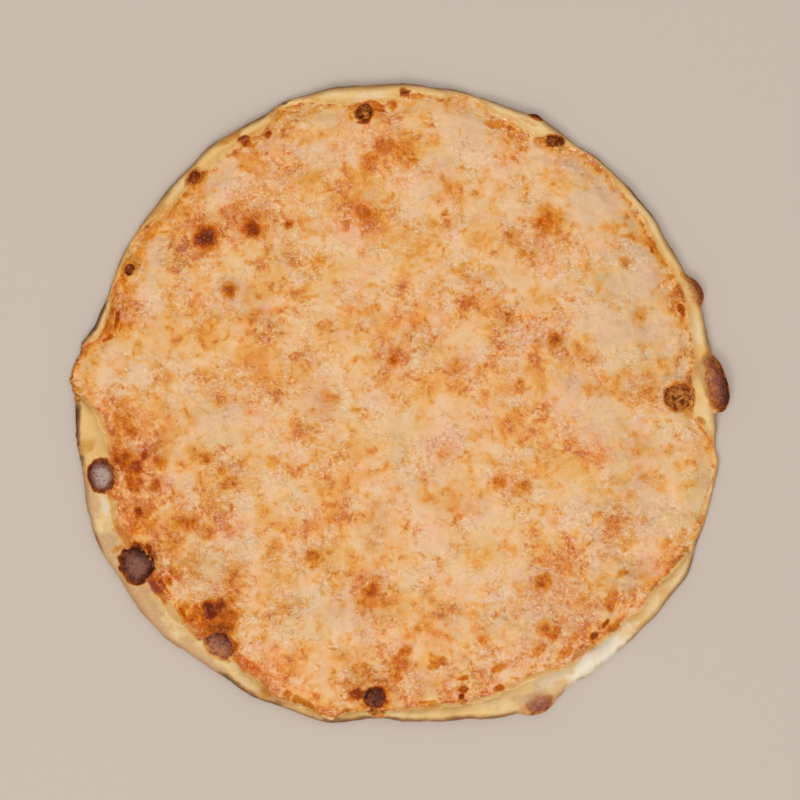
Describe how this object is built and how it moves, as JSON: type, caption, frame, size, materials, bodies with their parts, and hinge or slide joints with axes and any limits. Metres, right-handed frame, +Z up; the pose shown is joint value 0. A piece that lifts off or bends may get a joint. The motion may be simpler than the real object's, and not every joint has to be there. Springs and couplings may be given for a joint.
{
  "type": "four cheese pizza",
  "caption": "Whole thin-crust pizza, uncut, with a low blistered rim and one sheet of browned melted cheese over tomato sauce.",
  "frame": {"origin": "centre of the flat underside, on the surface the pizza lies on", "axes": "+Z up out of the cheese, +X towards the largest blister of the rim, +Y a quarter turn counterclockwise from it"},
  "size_m": [0.3314, 0.3209, 0.0145],
  "materials": {
    "dough": null,
    "tomato_sauce": null,
    "melted_cheese": null
  },
  "bodies": {
    "root": {"crust": "dough", "sauce": "tomato_sauce", "cheese": "melted_cheese"}
  },
  "joints": []
}
